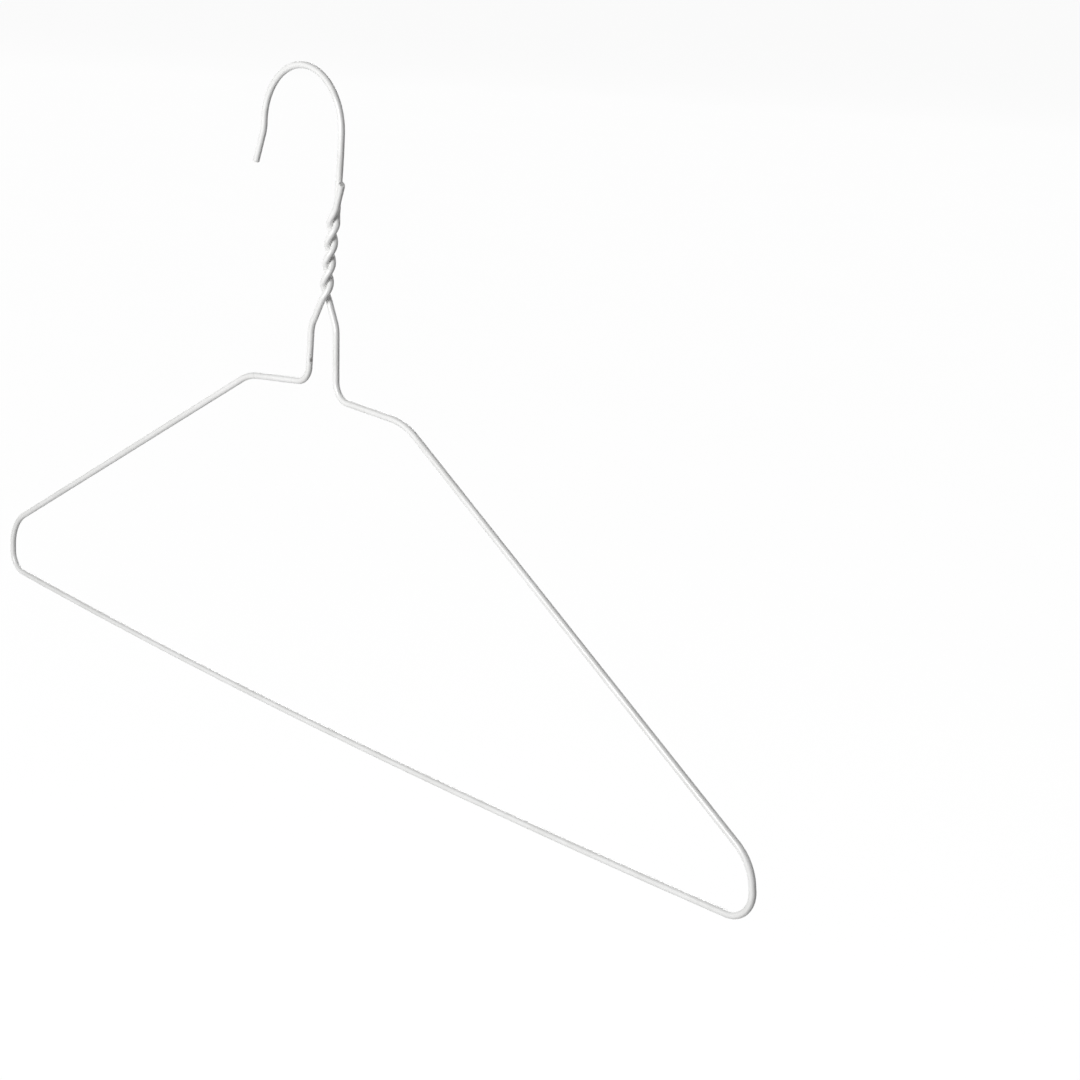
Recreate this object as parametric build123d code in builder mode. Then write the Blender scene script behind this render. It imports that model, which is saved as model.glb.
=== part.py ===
"""Wire clothes hanger, bent from one length of white-coated steel wire.

Axes: +X along the bottom bar, +Y to the back, +Z up. The origin is the rail seat, the point at the
top of the hook's inside where the hanger rests on a rail. "left" is the -X side, which the hook's
mouth faces. The wire is one piece; it is divided here into its named stretches, which meet end face
to end face, and each stretch is a steel core inside a sleeve of coating.
"""
import os
from math import atan, cos, pi, radians, sin, tan

from build123d import *

os.makedirs("parts", exist_ok=True)

# The wire, all sizes in millimetres
steel_diameter = 2.0
coating_thickness = 0.15
steel_radius = steel_diameter / 2
coated_radius = steel_radius + coating_thickness

# The hook: a half circle, then a tip that flares outwards
hook_radius = 20.5
tip_flare = 19.5
tip_bend_radius = 12.0
tip_length = 10.2
crown_across = -15.2
crown_height = 224.2

# The body, as distances from its middle line and heights above the ends of the bottom bar. It is bent
# a little differently on its two sides.
half_width = 202.5
bar_bow = 3.9
end_bend_reach = 12.0
left_leg_top = (6.15, 138.7)
left_ledge_start = (7.9, 118.9)
left_ledge_end = (41.3, 114.9)
left_end_top = (202.4, 19.8)
right_leg_top = (5.0, 139.7)
right_ledge_start = (7.1, 115.8)
right_ledge_end = (42.3, 114.9)
right_end_top = (199.2, 18.9)
# Radii of the upper and the lower bend of each end.
left_end_radii = (18.0, 7.6)
right_end_radii = (15.6, 9.2)
shoulder_bend_radius = 24.0
neck_bend_radius = 6.8
leg_bend_radius = 9.0
leg_top_depth = 0.8
joint_reach = 12.0

# The twist: two strands that wind round each other, round an axis that leans to the right
twist_height = 150.9
twist_across = 0.0
twist_lean = 0.109
twist_pitch = 13.74
twist_radius = 1.17
twist_phase = 53.0
tail_turns = 1.91
hook_turns = 1.78
crotch_reach = 2.2
crotch_radius = 5.0
stem_bend_reach = 2.1
stem_bend_radius = 5.0
stem_top_reach = 6.0
stem_top_radius = 60.0
tail_bend_reach = 2.2
tail_bend_radius = 12.0
tail_end_across = 8.95
tail_end_height = 189.2
tail_end_depth = 1.8
tail_cut_angle = -28.0

seat_height = crown_height - coated_radius


def at(across, height, depth=0.0):
    """A point of the body, measured from its middle line and its bar, in the part's own frame."""
    return Vector(across - crown_across, depth, height - seat_height)


def towards(start, end, distance):
    """The point at a distance from start on the line to end."""
    return start + (end - start).normalized() * distance


def make_stretch(name, path, cut=None):
    """One stretch of the wire along a path, as a steel core and its coating, cut off by a plane."""
    start = Plane(origin=path @ 0, z_dir=path % 0)
    with BuildPart() as steel:
        with BuildSketch(start):
            Circle(steel_radius)
        sweep(path=path, is_frenet=True)
        if cut:
            split(bisect_by=cut, keep=Keep.BOTTOM)
    with BuildPart() as coating:
        with BuildSketch(start):
            Circle(coated_radius)
            Circle(steel_radius, mode=Mode.SUBTRACT)
        sweep(path=path, is_frenet=True)
        if cut:
            split(bisect_by=cut, keep=Keep.BOTTOM)
    steel.part.label = "steel_" + name
    coating.part.label = "coating_" + name
    export_step(steel.part, "parts/steel_" + name + ".step")
    export_step(coating.part, "parts/coating_" + name + ".step")
    length = sum(edge.length for edge in path.edges())
    print(name, "length", round(length, 2), "steel volume", round(steel.part.volume, 3),
          "section x length", round(pi * steel_radius ** 2 * length, 3))


# The twist. The tail's strand starts in front of the other, where the two legs come together. A helix
# is placed by its plane, because its own direction is global.
twist_axis = Vector(twist_lean, 0, 1).normalized()
twist_foot = at(twist_across, twist_height)
tail_side = Vector(0, -1, 0).rotate(Axis((0, 0, 0), twist_axis), twist_phase)
tail_plane = Plane(origin=twist_foot, x_dir=tail_side, z_dir=twist_axis)
hook_plane = Plane(origin=twist_foot, x_dir=-tail_side, z_dir=twist_axis)
tail_strand = tail_plane * Helix(pitch=twist_pitch, height=twist_pitch * tail_turns, radius=twist_radius)
hook_strand = hook_plane * Helix(pitch=twist_pitch, height=twist_pitch * hook_turns, radius=twist_radius)
make_stretch("twist_tail_strand", tail_strand)
make_stretch("twist_hook_strand", hook_strand)

# The tail: the strand's end stands up in front of the stem, to a slanting snip
tail_start = tail_strand @ 1
tail_corner = tail_start + (tail_strand % 1) * tail_bend_reach
tail_end = at(tail_end_across, tail_end_height, -tail_end_depth)
with BuildLine() as tail:
    FilletPolyline(tail_start, tail_corner, tail_end, radius=tail_bend_radius)
tail_heading = (tail_end - tail_corner).normalized()
tail_cut = Plane(origin=tail_end - tail_heading * coated_radius,
                 z_dir=tail_heading.rotate(Axis.Y, -tail_cut_angle))
make_stretch("tail_end", tail.line, tail_cut)

# The stem: the other strand straightens up, leans across and meets the hook's half circle upright
bow_start = at(crown_across + hook_radius, crown_height - hook_radius)
stem_start = hook_strand @ 1
stem_corner = stem_start + (hook_strand % 1) * stem_bend_reach
stem_top = bow_start - Vector(0, 0, stem_top_reach)
with BuildLine() as stem:
    FilletPolyline(stem_start, stem_corner, stem_top, bow_start, radius=[stem_bend_radius, stem_top_radius])
make_stretch("hook_stem", stem.line)

# The hook: half a circle from the stem's top to the far side, and the flared tip
bow_end = at(crown_across - hook_radius, crown_height - hook_radius)
with BuildLine() as bow:
    ThreePointArc(bow_start, at(crown_across, crown_height), bow_end)
make_stretch("hook_bow", bow.line)
flare_reach = tip_bend_radius * tan(radians(tip_flare / 2))
tip_corner = bow_end - Vector(0, 0, 1) * (flare_reach + coating_thickness)
flare_heading = Vector(-sin(radians(tip_flare)), 0, -cos(radians(tip_flare)))
with BuildLine() as tip:
    FilletPolyline(bow_end, tip_corner, tip_corner + flare_heading * (flare_reach + tip_length),
                   radius=tip_bend_radius)
make_stretch("hook_tip", tip.line)

# The two sides, from the twist down to the bar
bar_slope = 2 * atan(bar_bow / (half_width - end_bend_reach))
left_corners = (left_leg_top, left_ledge_start, left_ledge_end, left_end_top)
right_corners = (right_leg_top, right_ledge_start, right_ledge_end, right_end_top)
sides = (
    ("left", -1, tail_strand, left_corners, left_end_radii),
    ("right", 1, hook_strand, right_corners, right_end_radii),
)
for side, sign, strand, corners, end_radii in sides:
    depths = (sign * leg_top_depth, 0, 0, 0)
    leg_top, ledge_start, ledge_end, end_top = [
        at(sign * across, height, depth) for (across, height), depth in zip(corners, depths)
    ]
    leg_start = strand @ 0
    crotch = leg_start - (strand % 0) * crotch_reach
    end_bottom = at(sign * half_width, 0)
    leg_foot = towards(ledge_start, leg_top, joint_reach)
    shoulder_start = towards(ledge_end, end_top, joint_reach)
    shoulder_end = towards(end_top, ledge_end, joint_reach)
    bar_end = at(sign * (half_width - end_bend_reach), -end_bend_reach * tan(bar_slope))
    with BuildLine() as leg:
        FilletPolyline(leg_start, crotch, leg_top, leg_foot, radius=[crotch_radius, leg_bend_radius])
    with BuildLine() as ledge:
        FilletPolyline(leg_foot, ledge_start, ledge_end, shoulder_start,
                       radius=[neck_bend_radius, shoulder_bend_radius])
    with BuildLine() as shoulder:
        Line(shoulder_start, shoulder_end)
    with BuildLine() as end_bend:
        FilletPolyline(shoulder_end, end_top, end_bottom, bar_end, radius=list(end_radii))
    make_stretch(side + "_neck_leg", leg.line)
    make_stretch(side + "_ledge", ledge.line)
    make_stretch(side + "_shoulder", shoulder.line)
    make_stretch(side + "_end_bend", end_bend.line)

# The bottom bar bows downwards between the two end bends
bar_across = half_width - end_bend_reach
bar_height = -end_bend_reach * tan(bar_slope)
with BuildLine() as bar:
    ThreePointArc(at(-bar_across, bar_height), at(0, bar_height - bar_bow), at(bar_across, bar_height))
make_stretch("bottom_bar", bar.line)
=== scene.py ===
"""Wire clothes hanger in white-coated steel wire: its looks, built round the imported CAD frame.

Row frame, in metres: +X along the bottom bar, +Y to the back, +Z up, origin at the rail seat. The
wire's route is worked out in millimetres, from the same dimensions as the part's own source.
"""
from math import atan, ceil, cos, pi, radians, sin, tan

import bpy
import numpy as np
from mathutils import Matrix, Vector, noise


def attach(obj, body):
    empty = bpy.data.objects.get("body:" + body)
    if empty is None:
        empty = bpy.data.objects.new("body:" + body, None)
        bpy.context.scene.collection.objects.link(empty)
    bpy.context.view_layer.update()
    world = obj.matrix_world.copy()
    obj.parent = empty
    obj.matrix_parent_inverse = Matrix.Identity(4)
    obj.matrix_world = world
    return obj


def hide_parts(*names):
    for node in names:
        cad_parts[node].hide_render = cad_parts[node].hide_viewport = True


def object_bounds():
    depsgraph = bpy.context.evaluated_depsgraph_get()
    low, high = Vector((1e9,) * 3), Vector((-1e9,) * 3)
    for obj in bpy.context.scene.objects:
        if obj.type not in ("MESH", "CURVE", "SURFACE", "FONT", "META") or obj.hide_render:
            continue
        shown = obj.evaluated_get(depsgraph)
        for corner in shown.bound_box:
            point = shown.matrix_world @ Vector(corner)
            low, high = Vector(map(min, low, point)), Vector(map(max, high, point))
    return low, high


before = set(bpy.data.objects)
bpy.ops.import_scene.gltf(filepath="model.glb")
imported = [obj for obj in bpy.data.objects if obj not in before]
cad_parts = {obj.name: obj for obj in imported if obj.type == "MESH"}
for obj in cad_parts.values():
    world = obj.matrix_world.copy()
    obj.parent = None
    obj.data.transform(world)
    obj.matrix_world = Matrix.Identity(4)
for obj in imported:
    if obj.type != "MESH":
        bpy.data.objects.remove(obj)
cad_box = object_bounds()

MM = 0.001

# ---------------------------------------------------------------- dimensions of the part, millimetres
steel_radius = 1.0
coating_thickness = 0.15
coated_radius = steel_radius + coating_thickness

hook_radius = 20.5
tip_flare = 19.5
tip_bend_radius = 12.0
tip_length = 10.2
crown_across = -15.2
crown_height = 224.2

half_width = 202.5
bar_bow = 3.9
end_bend_reach = 12.0
left_corners = ((6.15, 138.7), (7.9, 118.9), (41.3, 114.9), (202.4, 19.8))
right_corners = ((5.0, 139.7), (7.1, 115.8), (42.3, 114.9), (199.2, 18.9))
left_end_radii = (18.0, 7.6)
right_end_radii = (15.6, 9.2)
shoulder_bend_radius = 24.0
neck_bend_radius = 6.8
leg_bend_radius = 9.0
leg_top_depth = 0.8
joint_reach = 12.0

twist_height = 150.9
twist_across = 0.0
twist_lean = 0.109
twist_pitch = 13.74
twist_radius = 1.17
twist_phase = 53.0
tail_turns = 1.91
hook_turns = 1.78
crotch_reach = 2.2
crotch_radius = 5.0
stem_bend_reach = 2.1
stem_bend_radius = 5.0
stem_top_reach = 6.0
stem_top_radius = 60.0
tail_bend_reach = 2.2
tail_bend_radius = 12.0
tail_end_across = 8.95
tail_end_height = 189.2
tail_end_depth = 1.8
tail_cut_angle = -28.0

seat_height = crown_height - coated_radius

# ---------------------------------------------------------------- how finely the wire is meshed
line_step = 0.1
bend_step = 0.45
run_step = 1.2
around = 28


# ================================================================ the route of the wire
def at(across, height, depth=0.0):
    """A point of the body, from its middle line and its bar, in the row frame."""
    return np.array([across - crown_across, depth, height - seat_height])


def unit(v):
    return v / np.linalg.norm(v)


def towards(start, end, distance):
    return start + unit(end - start) * distance


def line(start, end):
    """Points along a straight run."""
    count = max(2, ceil(np.linalg.norm(end - start) / line_step) + 1)
    return start + np.linspace(0, 1, count)[:, None] * (end - start)


def arc(centre, first, last):
    """Points along an arc about centre, from first to last, both seen from the centre."""
    turn = np.arccos(np.clip(unit(first) @ unit(last), -1, 1))
    count = max(3, ceil(np.linalg.norm(first) * turn / line_step) + 1)
    share = np.linspace(0, 1, count)[:, None]
    return centre + (np.sin((1 - share) * turn) * first + np.sin(share * turn) * last) / np.sin(turn)


def join(*runs):
    """Runs put end to end, without the points they share."""
    return np.vstack([runs[0]] + [run[1:] for run in runs[1:]])


def bent(corners, radii):
    """Straight runs between corners, with an arc of its own radius at each inner corner."""
    runs, start = [], corners[0]
    for before, corner, after, radius in zip(corners, corners[1:], corners[2:], radii):
        back, on = unit(before - corner), unit(after - corner)
        half = np.arccos(np.clip(back @ on, -1, 1)) / 2
        reach = radius / tan(half)
        centre = corner + unit(back + on) * radius / sin(half)
        runs.append(line(start, corner + back * reach))
        runs.append(arc(centre, corner + back * reach - centre, corner + on * reach - centre))
        start = corner + on * reach
    runs.append(line(start, corners[-1]))
    return join(*runs)


def helix(foot, axis, side, turns):
    """A right-handed helix that starts at foot + side."""
    across = np.cross(axis, side)
    count = ceil(turns * np.hypot(twist_pitch, 2 * pi * twist_radius) / line_step) + 1
    t = np.linspace(0, turns, count)[:, None]
    around_axis = np.cos(2 * pi * t) * side + np.sin(2 * pi * t) * across
    return foot + twist_radius * around_axis + twist_pitch * t * axis


def side_route(sign, strand, strand_heading, corners, end_radii):
    """The leg, ledge, shoulder and end bend of one side, from the twist down to the bar."""
    depths = (sign * leg_top_depth, 0, 0, 0)
    places = [at(sign * across, height, depth) for (across, height), depth in zip(corners, depths)]
    leg_top, ledge_start, ledge_end, end_top = places
    leg_start = strand[0]
    crotch = leg_start - strand_heading * crotch_reach
    end_bottom = at(sign * half_width, 0)
    leg_foot = towards(ledge_start, leg_top, joint_reach)
    shoulder_start = towards(ledge_end, end_top, joint_reach)
    shoulder_end = towards(end_top, ledge_end, joint_reach)
    bar_end = at(sign * bar_across, bar_height)
    return (
        bent((leg_start, crotch, leg_top, leg_foot), (crotch_radius, leg_bend_radius)),
        bent((leg_foot, ledge_start, ledge_end, shoulder_start), (neck_bend_radius, shoulder_bend_radius)),
        line(shoulder_start, shoulder_end),
        bent((shoulder_end, end_top, end_bottom, bar_end), end_radii),
    )


bar_slope = 2 * atan(bar_bow / (half_width - end_bend_reach))
bar_across = half_width - end_bend_reach
bar_height = -end_bend_reach * tan(bar_slope)


def bar_route():
    """The bottom bar, a shallow arc from its right end to its left."""
    right, low = at(bar_across, bar_height), at(0, bar_height - bar_bow)
    radius = (bar_across ** 2 + bar_bow ** 2) / (2 * bar_bow)
    centre = low + np.array([0, 0, radius])
    left = at(-bar_across, bar_height)
    return arc(centre, right - centre, left - centre)


def hook_route():
    """The bow and the tip, and the point where the bow meets the stem."""
    centre = at(crown_across, crown_height - hook_radius)
    start, end = centre + [hook_radius, 0, 0], centre - [hook_radius, 0, 0]
    top = np.array([0, 0, hook_radius])
    bow = join(arc(centre, end - centre, top), arc(centre, top, start - centre))
    flare = radians(tip_flare)
    reach = tip_bend_radius * tan(flare / 2)
    corner = end - np.array([0, 0, reach + coating_thickness])
    heading = np.array([-sin(flare), 0, -cos(flare)])
    tip = bent((end, corner, corner + heading * (reach + tip_length)), (tip_bend_radius,))
    return bow, tip, start


def twist_route():
    """The two strands of the twist, with the heading of each at its foot and its top."""
    axis = unit(np.array([twist_lean, 0, 1.0]))
    foot = at(twist_across, twist_height)
    front = np.array([0, -1.0, 0])
    turn = radians(twist_phase)
    side = front * cos(turn) + np.cross(axis, front) * sin(turn)
    rise = twist_pitch / (2 * pi * twist_radius)

    def heading(side, turns):
        radial = side * cos(2 * pi * turns) + np.cross(axis, side) * sin(2 * pi * turns)
        return unit(np.cross(axis, radial) + rise * axis)

    strands = [(helix(foot, axis, s, turns), heading(s, 0), heading(s, turns))
               for s, turns in ((side, tail_turns), (-side, hook_turns))]
    return strands


def wire_route():
    """Every stretch of the wire in order, from the hook's tip to the tail: {name: points}."""
    (tail_strand, tail_foot, tail_top), (hook_strand, hook_foot, hook_top) = twist_route()
    bow, tip, bow_start = hook_route()
    stem_start = hook_strand[-1]
    stem = bent((stem_start, stem_start + hook_top * stem_bend_reach,
                 bow_start - [0, 0, stem_top_reach], bow_start), (stem_bend_radius, stem_top_radius))
    tail_start = tail_strand[-1]
    tail_end = at(tail_end_across, tail_end_height, -tail_end_depth)
    tail = bent((tail_start, tail_start + tail_top * tail_bend_reach, tail_end), (tail_bend_radius,))
    left = side_route(-1, tail_strand, tail_foot, left_corners, left_end_radii)
    right = side_route(1, hook_strand, hook_foot, right_corners, right_end_radii)
    route = {"hook_tip": tip[::-1], "hook_bow": bow, "hook_stem": stem[::-1],
             "twist_hook_strand": hook_strand[::-1]}
    parts = ("neck_leg", "ledge", "shoulder", "end_bend")
    route.update({"right_" + part: run for part, run in zip(parts, right)})
    route["bottom_bar"] = bar_route()
    route.update({"left_" + part: run[::-1] for part, run in zip(parts[::-1], left[::-1])})
    route["twist_tail_strand"] = tail_strand
    route["tail_end"] = tail
    return route


def transported(points):
    """Each point's heading, and a side direction that never turns about the wire."""
    headings = np.gradient(points, axis=0)
    headings /= np.linalg.norm(headings, axis=1)[:, None]
    sides = np.empty_like(points)
    side = np.array([0, 1.0, 0])
    for i, heading in enumerate(headings):
        side = unit(side - heading * (side @ heading))
        sides[i] = side
    return headings, sides


# ================================================================ marks on the wire
# Dents left by the bending and twisting tools: where (across, height, depth), which way the dent
# faces, its length along the wire and half width round it, how deep it goes, and how bare it leaves
# the steel. Lengths in millimetres, width in degrees.
dents = (
    ((-7.0, 127.1, 0.0), (1.0, -0.1, 0.1), 2.4, 30, 0.14, 0.75),
    ((-6.9, 128.9, 0.0), (0.9, -0.5, 0.0), 0.7, 20, 0.09, 0.5),
    ((6.7, 125.4, 0.0), (-1.0, -0.2, 0.1), 2.2, 28, 0.13, 0.7),
)

# How a dent and its bare steel fade out, with distances as shares of the dent's own reach.
dent_middle = 1.5
dent_fall = 1.1
bare_rim = 1.15
bare_fall = 2.2
mark_limit = 1.6

route = wire_route()
route_points = join(*route.values())
headings, sides = transported(route_points)
steps = np.linalg.norm(np.diff(route_points, axis=0), axis=1)
distance = np.concatenate([[0.0], np.cumsum(steps)])


def stretch_spans():
    """Where each stretch starts and stops, as distances along the wire."""
    spans, start = {}, 0
    for name, points in route.items():
        stop = start + len(points) - 1
        spans[name] = (distance[start], distance[stop])
        start = stop
    return spans


def placed_marks():
    """Every dent's distance along the wire, way it faces, reach, width, depth and bareness."""
    marks = []
    for (across, height, depth), way, length, width, deep, bare in dents:
        nearest = np.argmin(np.linalg.norm(route_points - at(across, height, depth), axis=1))
        way = np.array(way)
        way = unit(way - headings[nearest] * (way @ headings[nearest]))
        marks.append((distance[nearest], way, length / 2, radians(width), deep, bare))
    return marks


spans = stretch_spans()
marks = placed_marks()
straight_runs = {"right_shoulder", "left_shoulder", "bottom_bar"}


def smooth(x):
    """0 below 0, 1 above 1, and a smooth rise between."""
    x = np.clip(x, 0, 1)
    return x * x * (3 - 2 * x)


def ripple(values, seed):
    """Steady unevenness between -1 and 1 for an array of positions on a circle and along the wire."""
    flat = values.reshape(-1, 3)
    heights = np.array([noise.noise(Vector(p) + Vector((seed, 0, 0))) for p in flat])
    return heights.reshape(values.shape[:-1])


def ring_places(name):
    """Distances along the wire of one stretch's rings."""
    start, stop = spans[name]
    step = run_step if name in straight_runs else bend_step
    return np.linspace(start, stop, ceil((stop - start) / step) + 1)


def frame_at(places):
    """Centres, headings and the two directions across the wire, at distances along it."""

    def pick(values):
        return np.stack([np.interp(places, distance, values[:, k]) for k in range(3)], axis=1)

    centres, heading, side = pick(route_points), pick(headings), pick(sides)
    heading /= np.linalg.norm(heading, axis=1)[:, None]
    side -= heading * np.sum(side * heading, axis=1)[:, None]
    side /= np.linalg.norm(side, axis=1)[:, None]
    return centres, heading, side, np.cross(heading, side)


def spokes(places):
    """Unit directions from the wire's centre to each vertex of each ring."""
    _, _, side, up = frame_at(places)
    angle = np.arange(around) * 2 * pi / around
    return np.cos(angle)[None, :, None] * side[:, None] + np.sin(angle)[None, :, None] * up[:, None]


def worn(places, outward):
    """How deep the dents are and how bare the steel is at every vertex."""
    deep = np.zeros(outward.shape[:2])
    bare = np.zeros(outward.shape[:2])
    for place, way, reach, width, depth, bareness in marks:
        near = np.abs(places - place) < reach * mark_limit
        if not near.any():
            continue
        along = np.abs(places[near] - place)[:, None] / reach
        off = np.arccos(np.clip(outward[near] @ way, -1, 1)) / width
        spread = np.hypot(along, off)
        deep[near] = np.maximum(deep[near], depth * smooth(dent_middle - spread * dent_fall))
        bare[near] = np.maximum(bare[near], bareness * smooth((bare_rim - spread) * bare_fall))
    return deep, bare


# ================================================================ the two cut ends
wire_stop = distance[-1]
tail_heading = headings[-1]
cut_turn = radians(tail_cut_angle)
cut_normal = np.array([
    tail_heading[0] * cos(cut_turn) - tail_heading[2] * sin(cut_turn),
    tail_heading[1],
    tail_heading[0] * sin(cut_turn) + tail_heading[2] * cos(cut_turn),
])
cut_place = wire_stop - coated_radius
bite = unit(cut_normal - tail_heading * (cut_normal @ tail_heading))

# How far back the slant and the cutter's squeeze reach, the squeeze's share of the radius, and how
# far the coat ends short of the steel. Lengths in millimetres, here and below.
cut_zone = 3.2
pinch_zone = 1.3
pinch = 0.09
coat_setback = 0.09

# The coat's rounded lip: distances back from its end, and how much thinner it is at each of them.
lip_places = (0.30, 0.16, 0.07, 0.02)
lip_trim = (0.0, 0.004, 0.03, 0.07)
lip_edge_trim = 0.085
lip_reach = 0.45

# Rows of a cut face, as shares of its radius.
face_shares = (0.98, 0.93, 0.84, 0.70, 0.54, 0.36, 0.18)

# The coat's torn rim, the tail's face (rolled over one side, rough on the other) and the tip's face.
torn_zone = 0.6
torn_depth = 0.07
torn_bias = 0.3
torn_grain = 3.1
rolled_depth = 0.20
rolled_start = 0.30
rolled_width = 0.75
rough_depth = 0.035
rough_start = 0.05
rough_width = 0.5
rough_grain = 5.0
tip_rounding = 0.22
tip_rough = 0.03
tip_grain = 4.0


def slant(outward, radius):
    """How far past the middle of the cut the wire reaches on each side of it."""
    return -radius * (outward @ cut_normal) / (tail_heading @ cut_normal)


def pinched(places, outward):
    """The tail's share of its full radius, where the cutter squeezed it."""
    near = smooth((places - (cut_place - pinch_zone)) / pinch_zone)[:, None]
    return 1 - pinch * near * (outward @ bite) ** 2


def end_detail(name, places, outward, radius):
    """Radius and shift along the wire of every vertex, with the cut ends shaped."""
    shift = np.zeros(outward.shape[:2])
    if name == "tail_end":
        radius = radius * pinched(places, outward)
        near = smooth((places - (cut_place - cut_zone)) / cut_zone)[:, None]
        shift = near * slant(outward, radius)
    return radius, shift


# ================================================================ meshes
def ring_faces(count, across, closed):
    """Quads between neighbouring rows, and from the last row back to the first if closed."""
    faces = []
    for r in range(count if closed else count - 1):
        a, b = r * across, (r + 1) % count * across
        for k in range(across):
            n = (k + 1) % across
            faces.append((a + k, a + n, b + n, b + k))
    return faces


def cap_faces(count, across):
    """Triangles from the first and last rows to their poles, which come after the rows."""
    first_pole, last_pole = count * across, count * across + 1
    last_row = (count - 1) * across
    faces = []
    for k in range(across):
        n = (k + 1) % across
        faces.append((first_pole, n, k))
        faces.append((last_pole, last_row + k, last_row + n))
    return faces


def sharpen(mesh, count, across, flat_rows):
    """Hard edges along both rims of every flat row of faces."""
    ends = np.empty(len(mesh.edges) * 2, int)
    mesh.edges.foreach_get("vertices", ends)
    edge_rows = ends.reshape(-1, 2) // across
    rims = {rim for row in flat_rows for rim in (row, (row + 1) % count)}
    mesh.edges.foreach_set("use_edge_sharp", [a == b and a in rims for a, b in edge_rows])


def tube(name, rows, poles=None, flat_rows=(), bare=None):
    """A closed mesh object from rows of vertices. Poles close the two ends; without them the rows
    close on themselves. Faces after a flat row are shaded flat. Bare is kept on the vertices."""
    count, across = rows.shape[:2]
    vertices = rows.reshape(-1, 3)
    faces = ring_faces(count, across, poles is None)
    flat = [index // across in flat_rows for index in range(len(faces))]
    if poles is not None:
        vertices = np.vstack([vertices, np.array(poles)])
        caps = cap_faces(count, across)
        faces += caps
        flat += [False] * len(caps)
    mesh = bpy.data.meshes.new(name)
    mesh.from_pydata((vertices * MM).tolist(), [], faces)
    mesh.polygons.foreach_set("use_smooth", [not f for f in flat])
    if bare is not None:
        layer = mesh.attributes.new("bare", "FLOAT", "POINT")
        layer.data.foreach_set("value", bare.astype(np.float32).ravel())
    sharpen(mesh, count, across, flat_rows)
    mesh.validate()
    piece = bpy.data.objects.new(name, mesh)
    bpy.context.scene.collection.objects.link(piece)
    return piece


def piece_places(name, setback=0.0):
    """Ring distances of a stretch, drawn closer together at a cut end."""
    places = ring_places(name)
    if name == "tail_end":
        stop = cut_place - setback
        body = places[places < stop - lip_reach]
        places = np.concatenate([body, stop - np.array(lip_places), [stop]])
    if name == "hook_tip":
        body = places[places > setback + lip_reach]
        places = np.concatenate([[setback], setback + np.array(lip_places[::-1]), body])
    return places


# The coat is a little uneven: by how many millimetres, and how fast round and along the wire.
coat_unevenness = 0.006
uneven_round = 1.6
uneven_along = 0.35
uneven_seed, torn_seed, rough_seed, tip_seed = 3.0, 8.0, 21.0, 33.0


def coat_edge(name, places, outward, outer):
    """The coat's outer radius and torn rim where the wire ends, as radius and shift along the wire."""
    from_cut = cut_place - coat_setback - places if name == "tail_end" else places - coat_setback
    trim = np.interp(from_cut, [0.0, *lip_places[::-1]], [lip_edge_trim, *lip_trim[::-1]])
    edge = smooth(1 - from_cut / torn_zone)[:, None]
    torn = edge * torn_depth * (ripple(outward * torn_grain, torn_seed) - torn_bias)
    return outer - trim[:, None], torn if name == "tail_end" else -torn


def coat(name):
    """The coating of one stretch: a sleeve with an outer and an inner wall."""
    cut_here = name in ("tail_end", "hook_tip")
    places = piece_places(name, coat_setback if cut_here else 0.0)
    outward = spokes(places)
    centres, heading, _, _ = frame_at(places)
    deep, bare = worn(places, outward)
    wander = outward * uneven_round + places[:, None, None] * uneven_along
    outer = coated_radius - deep - coat_unevenness * (1 + ripple(wander, uneven_seed))
    ragged = np.zeros_like(outer)
    if cut_here:
        outer, ragged = coat_edge(name, places, outward, outer)
    inner = np.full_like(outer, steel_radius)

    def wall(radius):
        radius, shift = end_detail(name, places, outward, radius)
        slide = shift + ragged
        return centres[:, None] + outward * radius[..., None] + heading[:, None] * slide[..., None]

    rows = np.concatenate([wall(outer), wall(inner)[::-1]])
    bare_rows = np.concatenate([bare, np.zeros_like(bare)])
    flat_rows = {len(places) - 1, 2 * len(places) - 1}
    return tube("coat_" + name, rows, flat_rows=flat_rows, bare=bare_rows)


def tail_lift(share, outward, radius):
    """How far the tail's cut face stands past its middle: rolled over one side, torn on the other."""
    tilt = share * (outward @ bite)
    rolled = rolled_depth * smooth((tilt - rolled_start) / rolled_width)
    tearing = smooth((-tilt - rough_start) / rough_width)
    torn = rough_depth * tearing * ripple(outward * share * rough_grain, rough_seed)
    return slant(outward, radius * share) - rolled + torn


def tip_lift(share, outward, radius):
    """How far the hook tip's face is set back: most at its rounded rim, and rough in the middle."""
    rough = tip_rough * (1 - share) * ripple(outward * share * tip_grain, tip_seed)
    return tip_rounding * share ** 4 + rough


def sheared_face(place, outward, radius, lift):
    """Rows from the rim of a cut face to its middle."""
    centre, heading, _, _ = (v[0] for v in frame_at(np.array([place])))
    rows = []
    for share in face_shares + (0.0,):
        reach = outward * (radius * share)[:, None]
        rows.append(centre + reach + heading * lift(share, outward, radius)[:, None])
    return np.array(rows)


def steel(name):
    """The steel core of one stretch, with the cut faces shaped where the wire ends."""
    places = piece_places(name)
    outward = spokes(places)
    centres, heading, _, _ = frame_at(places)
    radius = np.full(outward.shape[:2], steel_radius)
    radius, shift = end_detail(name, places, outward, radius)
    rows = centres[:, None] + outward * radius[..., None] + heading[:, None] * shift[..., None]
    first, last = centres[0], centres[-1]
    if name == "tail_end":
        face = sheared_face(places[-1], outward[-1], radius[-1], tail_lift)
        rows = np.concatenate([rows, face[:-1]])
        last = face[-1][0]
    if name == "hook_tip":
        face = sheared_face(places[0], outward[0], radius[0], tip_lift)
        rows = np.concatenate([face[:-1][::-1], rows])
        first = face[-1][0]
    return tube("core_" + name, rows, (first, last))


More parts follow.
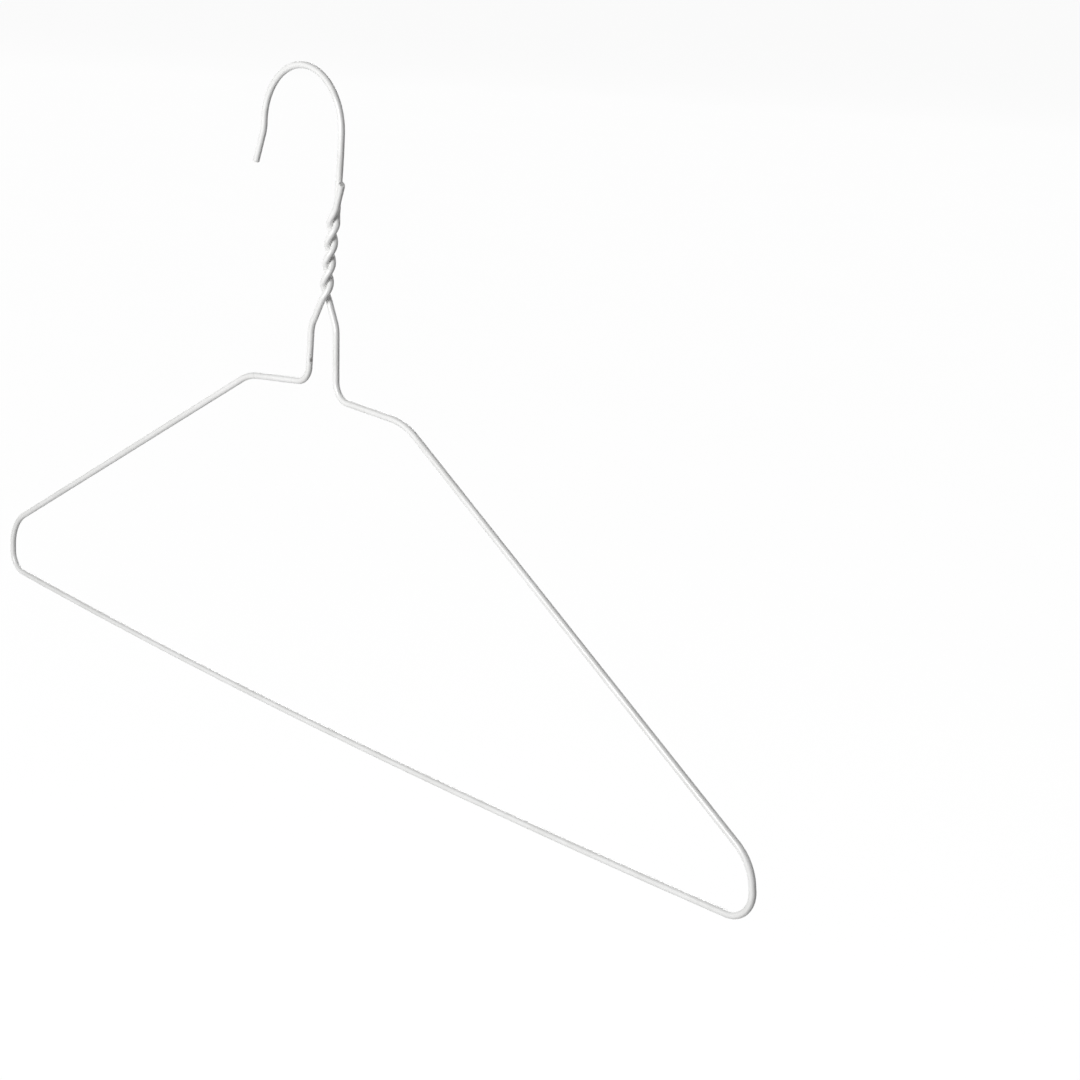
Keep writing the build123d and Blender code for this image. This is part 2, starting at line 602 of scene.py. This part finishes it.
# ================================================================ materials
def new_material(name):
    """A node material and its shader."""
    made = bpy.data.materials.new(name)
    made.use_nodes = True
    return made.node_tree, made.node_tree.nodes["Principled BSDF"], made


def add(tree, kind, settings=(), **sockets):
    """A node with its settings and with values or links on its named inputs."""
    made = tree.nodes.new(kind)
    for key, value in dict(settings).items():
        setattr(made, key, value)
    for key, value in sockets.items():
        socket = made.inputs[key.replace("_", " ")]
        if isinstance(value, bpy.types.NodeSocket):
            tree.links.new(value, socket)
        else:
            socket.default_value = value
    return made


def between(tree, value, low, high, to_low, to_high):
    """A value's range stretched onto another, eased and kept inside it."""
    made = add(tree, "ShaderNodeMapRange", {"interpolation_type": "SMOOTHSTEP"}, Value=value,
               From_Min=low, From_Max=high, To_Min=to_low, To_Max=to_high)
    return made.outputs["Result"]


def blend_colour(tree, share, first, second):
    """Two colours, or a link and a colour, mixed by a share."""
    made = add(tree, "ShaderNodeMix", {"data_type": "RGBA"})
    tree.links.new(share, made.inputs["Factor"])
    colours = {socket.name: socket for socket in made.inputs if socket.type == "RGBA"}
    for key, value in (("A", first), ("B", second)):
        if isinstance(value, bpy.types.NodeSocket):
            tree.links.new(value, colours[key])
        else:
            colours[key].default_value = (*value, 1)
    return next(socket for socket in made.outputs if socket.type == "RGBA")


def arithmetic(tree, operation, *values):
    """One arithmetic step on links and numbers."""
    made = tree.nodes.new("ShaderNodeMath")
    made.operation = operation
    for socket, value in zip(made.inputs, values):
        if isinstance(value, bpy.types.NodeSocket):
            tree.links.new(value, socket)
        else:
            socket.default_value = value
    return made.outputs[0]


# Noise scales are in waves per metre.
drift_scale, peel_scale, haze_scale = 65.0, 1100.0, 420.0
pinhole_scale, pinhole_share = 150.0, 0.80
pinhole_inner, pinhole_outer = 0.022, 0.045
shear_scale = (5200.0, 700.0, 2600.0)
grain_scale = 2600.0
paper_scale = 4.0

coat_white, coat_grey = (0.87, 0.87, 0.865), (0.80, 0.80, 0.79)
pinhole_colour = (0.30, 0.29, 0.27)
scraped_dark, scraped_light = (0.10, 0.098, 0.094), (0.34, 0.33, 0.32)
steel_dark, steel_light = (0.52, 0.515, 0.505), (0.82, 0.815, 0.80)
film_white = (0.86, 0.86, 0.85)
paper_dark, paper_light = (0.14, 0.14, 0.14), (0.16, 0.16, 0.16)

coat_ior = 1.6
coat_gloss, coat_dull = 0.25, 0.38
scraped_roughening, scraped_metal = 0.16, 0.75
steel_gloss, steel_dull = 0.34, 0.50
paper_roughness, paper_glow = 0.95, 0.93


def pinholes(tree, place):
    """Small round pits in about one cell in five."""
    cells = add(tree, "ShaderNodeTexVoronoi", Vector=place, Scale=pinhole_scale)
    draw = add(tree, "ShaderNodeSeparateColor", Color=cells.outputs["Color"]).outputs["Red"]
    chosen = between(tree, draw, pinhole_share, pinhole_share + 0.04, 0.0, 1.0)
    pit = between(tree, cells.outputs["Distance"], pinhole_inner, pinhole_outer, 1.0, 0.0)
    return arithmetic(tree, "MULTIPLY", pit, chosen)


def bare_share(tree, haze):
    """How much of the coating is scraped away, with ragged edges."""
    nick = add(tree, "ShaderNodeAttribute", {"attribute_name": "bare"}).outputs["Fac"]
    raggedness = arithmetic(tree, "MULTIPLY", arithmetic(tree, "SUBTRACT", haze, 0.5), 0.9)
    return between(tree, arithmetic(tree, "ADD", nick, raggedness), 0.38, 0.62, 0.0, 1.0)


def white_coating():
    """Semi-gloss white powder coat: faint orange peel, slow drift in tone, pinholes, and bare nicks."""
    tree, shader, made = new_material("white_coating")
    place = add(tree, "ShaderNodeTexCoord").outputs["Object"]
    drift = add(tree, "ShaderNodeTexNoise", Vector=place, Scale=drift_scale, Detail=3.0).outputs["Fac"]
    peel = add(tree, "ShaderNodeTexNoise", Vector=place, Scale=peel_scale, Detail=1.5).outputs["Fac"]
    haze = add(tree, "ShaderNodeTexNoise", Vector=place, Scale=haze_scale, Detail=4.0).outputs["Fac"]
    pin = pinholes(tree, place)
    bare = bare_share(tree, haze)
    white = blend_colour(tree, between(tree, drift, 0.35, 0.68, 0.0, 1.0), coat_white, coat_grey)
    speckled = blend_colour(tree, pin, white, pinhole_colour)
    scraped = blend_colour(tree, haze, scraped_dark, scraped_light)
    tree.links.new(blend_colour(tree, bare, speckled, scraped), shader.inputs["Base Color"])
    gloss = between(tree, haze, 0.30, 0.72, coat_gloss, coat_dull)
    rough = arithmetic(tree, "ADD", gloss, arithmetic(tree, "MULTIPLY", bare, scraped_roughening))
    tree.links.new(rough, shader.inputs["Roughness"])
    tree.links.new(arithmetic(tree, "MULTIPLY", bare, scraped_metal), shader.inputs["Metallic"])
    height = arithmetic(tree, "SUBTRACT", peel, arithmetic(tree, "MULTIPLY", pin, 1.6))
    bump = add(tree, "ShaderNodeBump", Strength=0.45, Distance=0.00005, Height=height)
    tree.links.new(bump.outputs["Normal"], shader.inputs["Normal"])
    shader.inputs["IOR"].default_value = coat_ior
    return made


def steel_wire():
    """Cut steel: shear marks across the face, under a thin broken film of the white coating."""
    tree, shader, made = new_material("steel_wire")
    place = add(tree, "ShaderNodeTexCoord").outputs["Object"]
    drawn_out = add(tree, "ShaderNodeMapping", Vector=place, Scale=shear_scale).outputs["Vector"]
    shear = add(tree, "ShaderNodeTexNoise", Vector=drawn_out, Scale=1.0, Detail=3.0).outputs["Fac"]
    grain = add(tree, "ShaderNodeTexNoise", Vector=place, Scale=grain_scale, Detail=3.0).outputs["Fac"]
    tone = arithmetic(tree, "MULTIPLY", arithmetic(tree, "ADD", shear, grain), 0.5)
    bare = blend_colour(tree, between(tree, tone, 0.3, 0.7, 0.0, 1.0), steel_dark, steel_light)
    film = between(tree, grain, 0.36, 0.52, 0.0, 1.0)
    tree.links.new(blend_colour(tree, film, bare, film_white), shader.inputs["Base Color"])
    rough = between(tree, tone, 0.3, 0.7, steel_gloss, steel_dull)
    tree.links.new(rough, shader.inputs["Roughness"])
    tree.links.new(between(tree, film, 0.0, 1.0, 1.0, 0.05), shader.inputs["Metallic"])
    bump = add(tree, "ShaderNodeBump", Strength=0.4, Distance=0.00002, Height=tone)
    tree.links.new(bump.outputs["Normal"], shader.inputs["Normal"])
    return made


def pale_floor():
    """Matt pale studio paper with a glow of its own, so that it stays even from edge to edge."""
    tree, shader, made = new_material("pale_paper")
    place = add(tree, "ShaderNodeTexCoord").outputs["Object"]
    fibre = add(tree, "ShaderNodeTexNoise", Vector=place, Scale=paper_scale, Detail=4.0).outputs["Fac"]
    tree.links.new(blend_colour(tree, fibre, paper_dark, paper_light), shader.inputs["Base Color"])
    shader.inputs["Roughness"].default_value = paper_roughness
    shader.inputs["Specular IOR Level"].default_value = 0.0
    shader.inputs["Emission Color"].default_value = (1, 1, 1, 1)
    shader.inputs["Emission Strength"].default_value = paper_glow
    return made


# ================================================================ the pieces
coating_finish = white_coating()
steel_finish = steel_wire()
for name in route:
    for piece, finish, slot, node in ((coat(name), coating_finish, "white_coating", "coating_" + name),
                                      (steel(name), steel_finish, "steel_wire", "steel_" + name)):
        piece.data.materials.append(finish)
        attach(piece, "root")
        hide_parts(node)

# ================================================================ the stage
low, high = cad_box
middle = (low + high) / 2
floor_drop = 0.32
floor_radius, sweep_radius, wall_height = 8.0, 3.0, 9.0
sweep_sides = 96
sweep_step = 6

camera_place = (0.51971, -0.41467, 0.04166)
camera_yaw, camera_pitch, camera_roll = 43.803, 16.747, 3.809
camera_lens, sensor_width = 65.0, 36.0
nearest_seen, furthest_seen = 0.01, 200.0

key_place, key_aim = (0.12, -0.75, 0.12), (0.02, 0.0, -0.08)
key_size, key_power = 0.35, 5.0
sun_distance = 1.5
suns = (
    ("below", (0.0, -1.0, -0.70), 0.81, 40),
    ("above", (0.06, -0.34, 0.94), 0.34, 40),
    ("back", (-0.69, 0.72, 0.22), 2.6, 30),
    ("back_fill", (0.35, 0.90, 0.35), 0.4, 40),
)
world_strength = 0.06


def studio_sweep():
    """A wide flat floor that curves up into a round wall. It shows, but throws no light or shade."""
    floor_level = low.z - floor_drop
    profile = [(0.0, 0.0), (floor_radius, 0.0)]
    for degrees in range(sweep_step, 91, sweep_step):
        turn = radians(degrees)
        profile.append((floor_radius + sweep_radius * sin(turn), sweep_radius * (1 - cos(turn))))
    profile.append((floor_radius + sweep_radius, wall_height))
    vertices = [(middle.x, middle.y, floor_level)]
    for reach, height in profile[1:]:
        vertices += [(middle.x + reach * cos(2 * pi * k / sweep_sides),
                      middle.y + reach * sin(2 * pi * k / sweep_sides), floor_level + height)
                     for k in range(sweep_sides)]
    faces = [(0, 1 + k, 1 + (k + 1) % sweep_sides) for k in range(sweep_sides)]
    for r in range(len(profile) - 2):
        a, b = 1 + r * sweep_sides, 1 + (r + 1) * sweep_sides
        faces += [(a + k, b + k, b + (k + 1) % sweep_sides, a + (k + 1) % sweep_sides)
                  for k in range(sweep_sides)]
    mesh = bpy.data.meshes.new("floor")
    mesh.from_pydata(vertices, [], faces)
    mesh.polygons.foreach_set("use_smooth", [True] * len(faces))
    mesh.materials.append(pale_floor())
    made = bpy.data.objects.new("floor", mesh)
    made.visible_diffuse = False
    made.visible_shadow = False
    bpy.context.scene.collection.objects.link(made)


def soft_sun(name, towards_light, strength, width):
    """Even light from one direction, as from a large softbox a long way off."""
    lamp = bpy.data.lights.new(name, "SUN")
    lamp.energy, lamp.angle = strength, radians(width)
    made = bpy.data.objects.new(name, lamp)
    made.location = middle + Vector(towards_light).normalized() * sun_distance
    made.rotation_euler = Vector(towards_light).to_track_quat("Z", "Y").to_euler()
    bpy.context.scene.collection.objects.link(made)


def softbox(name, place, aim, size, power):
    """A square soft light near the hanger, in metres and watts."""
    lamp = bpy.data.lights.new(name, "AREA")
    lamp.shape, lamp.size, lamp.energy = "SQUARE", size, power
    made = bpy.data.objects.new(name, lamp)
    made.location = place
    made.rotation_euler = (Vector(place) - Vector(aim)).to_track_quat("Z", "Y").to_euler()
    bpy.context.scene.collection.objects.link(made)


def camera(place, yaw, pitch, roll):
    """The view: heading turned from +Y to the left by yaw, tipped down by pitch, rolled by roll."""
    made = bpy.data.objects.new("camera", bpy.data.cameras.new("camera"))
    made.data.lens, made.data.sensor_width = camera_lens, sensor_width
    made.data.clip_start, made.data.clip_end = nearest_seen, furthest_seen
    level = Matrix.Rotation(yaw, 3, "Z")
    tipped = Matrix.Rotation(pi / 2 - pitch, 3, "X")
    turn = level @ tipped @ Matrix.Rotation(roll, 3, "Z")
    made.rotation_euler = turn.to_euler()
    made.location = place
    bpy.context.scene.collection.objects.link(made)
    bpy.context.scene.camera = made


def surroundings():
    """A faint even light from all round."""
    world = bpy.data.worlds.new("studio")
    world.use_nodes = True
    sky = world.node_tree.nodes["Background"]
    sky.inputs["Color"].default_value = (1, 1, 1, 1)
    sky.inputs["Strength"].default_value = world_strength
    bpy.context.scene.world = world


studio_sweep()
camera(camera_place, radians(camera_yaw), radians(camera_pitch), radians(camera_roll))
softbox("key", key_place, key_aim, key_size, key_power)
for sun in suns:
    soft_sun(*sun)
surroundings()
bpy.context.scene.view_settings.view_transform = "Standard"
